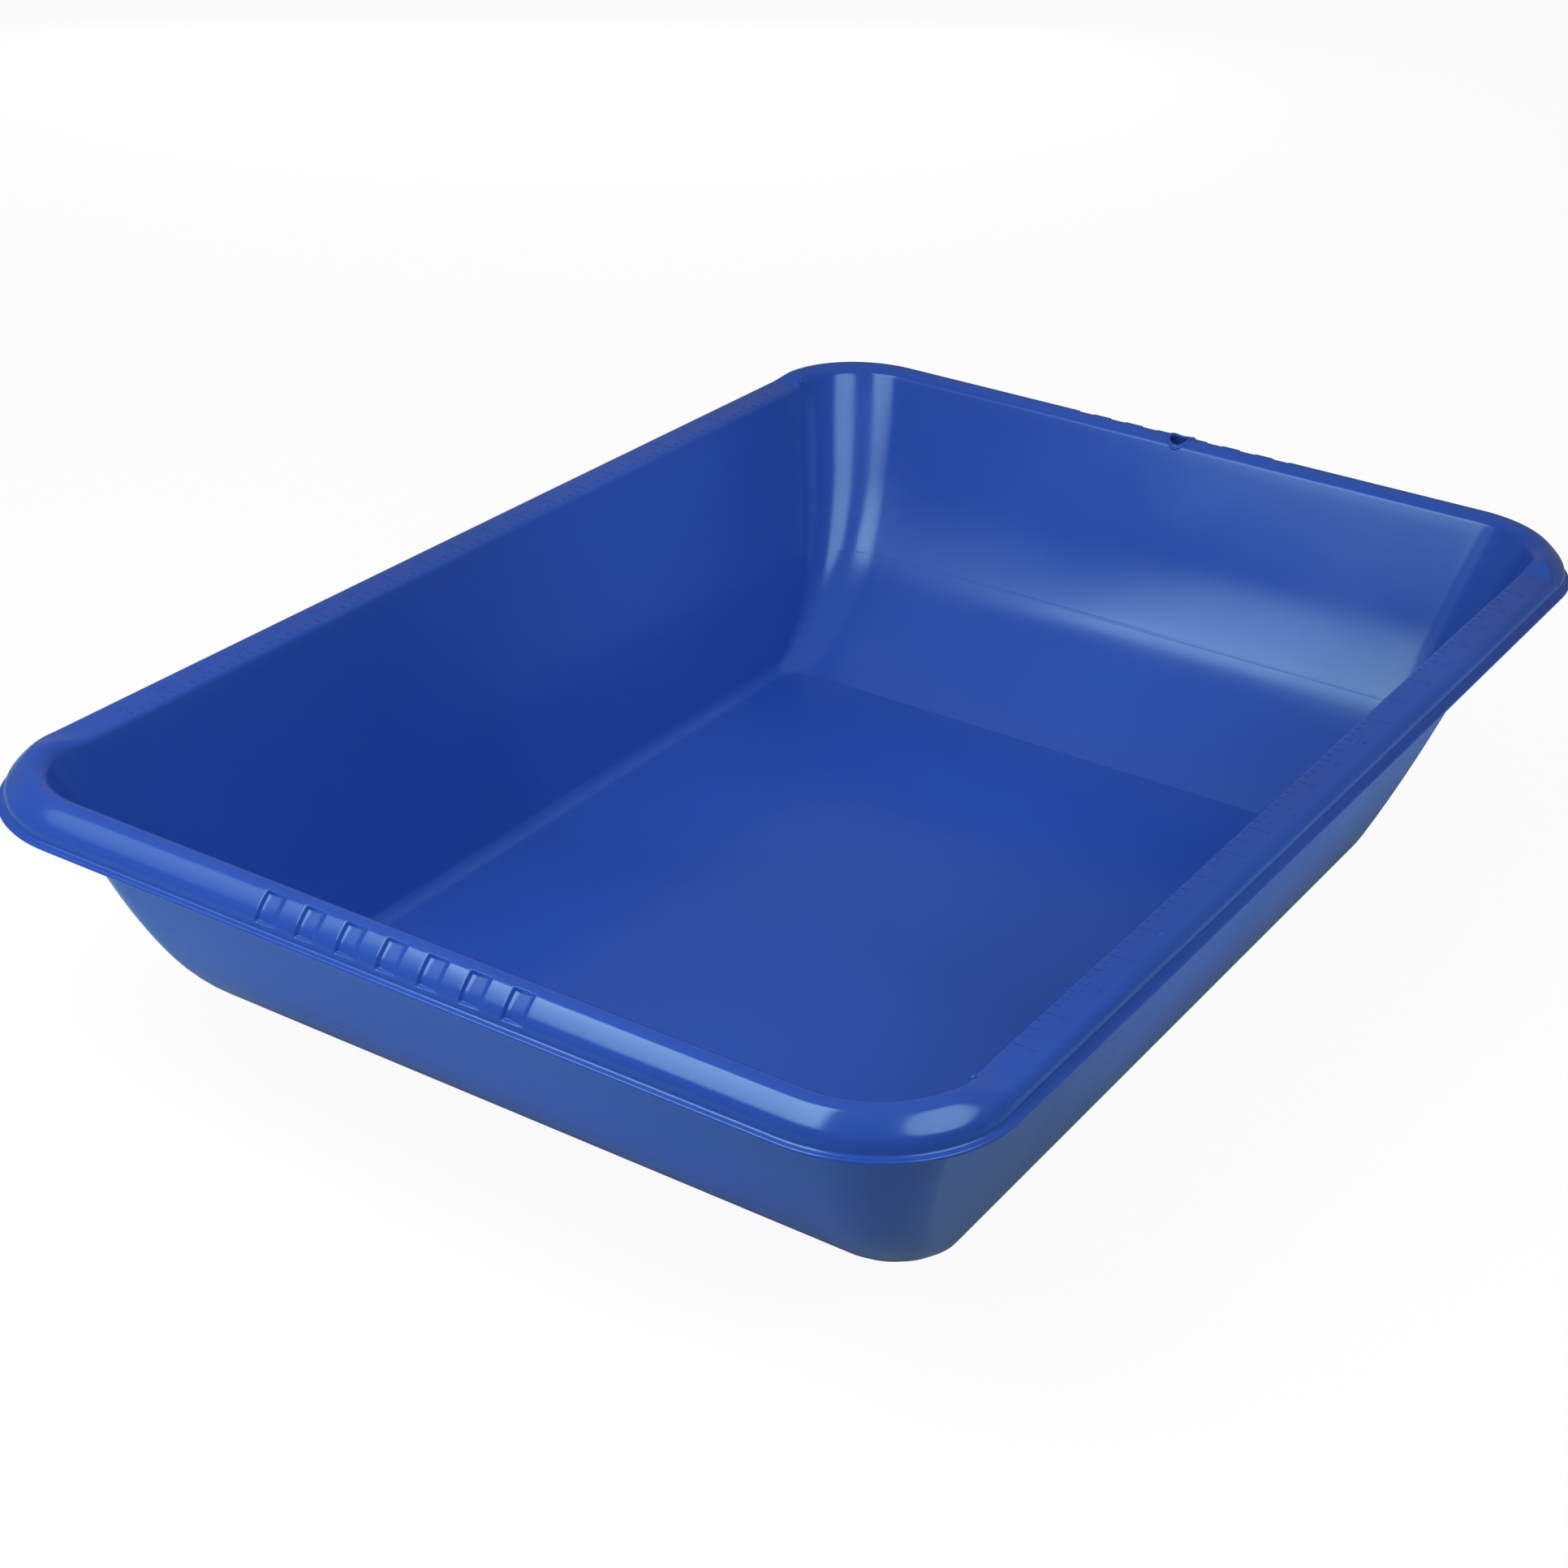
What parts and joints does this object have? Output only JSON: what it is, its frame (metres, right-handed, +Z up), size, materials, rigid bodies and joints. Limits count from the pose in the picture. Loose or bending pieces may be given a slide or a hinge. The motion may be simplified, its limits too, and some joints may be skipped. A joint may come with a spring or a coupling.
{
  "type": "utility tub",
  "caption": "Open rectangular plastic tub with sloping sides, swept ends, and a rolled rim with finger grips, inch scales and a hanging hole.",
  "frame": {"origin": "centre of the floor's flat underside, where the tub stands", "axes": "+Z up out of the tub, +Y along it towards the end with the hanging hole, +X to the right seen from the other end"},
  "size_m": [0.472, 0.6964, 0.1476],
  "materials": {
    "blue_plastic": "gloss"
  },
  "bodies": {
    "root": {"floor_panel": "blue_plastic", "side_wall_left": "blue_plastic", "scale_land_left": "blue_plastic", "rim_skirt_left": "blue_plastic", "side_wall_right": "blue_plastic", "scale_land_right": "blue_plastic", "rim_skirt_right": "blue_plastic", "end_wall_near": "blue_plastic", "wall_corner_near_left": "blue_plastic", "rim_corner_near_left": "blue_plastic", "near_rim_left": "blue_plastic", "wall_corner_near_right": "blue_plastic", "rim_corner_near_right": "blue_plastic", "near_rim_right": "blue_plastic", "end_wall_far": "blue_plastic", "wall_corner_far_left": "blue_plastic", "rim_corner_far_left": "blue_plastic", "far_rim_left": "blue_plastic", "wall_corner_far_right": "blue_plastic", "rim_corner_far_right": "blue_plastic", "far_rim_right": "blue_plastic", "near_rim_grips": "blue_plastic", "far_rim_grips_left": "blue_plastic", "far_rim_grips_right": "blue_plastic", "far_rim_hang_hole": "blue_plastic"}
  },
  "joints": []
}
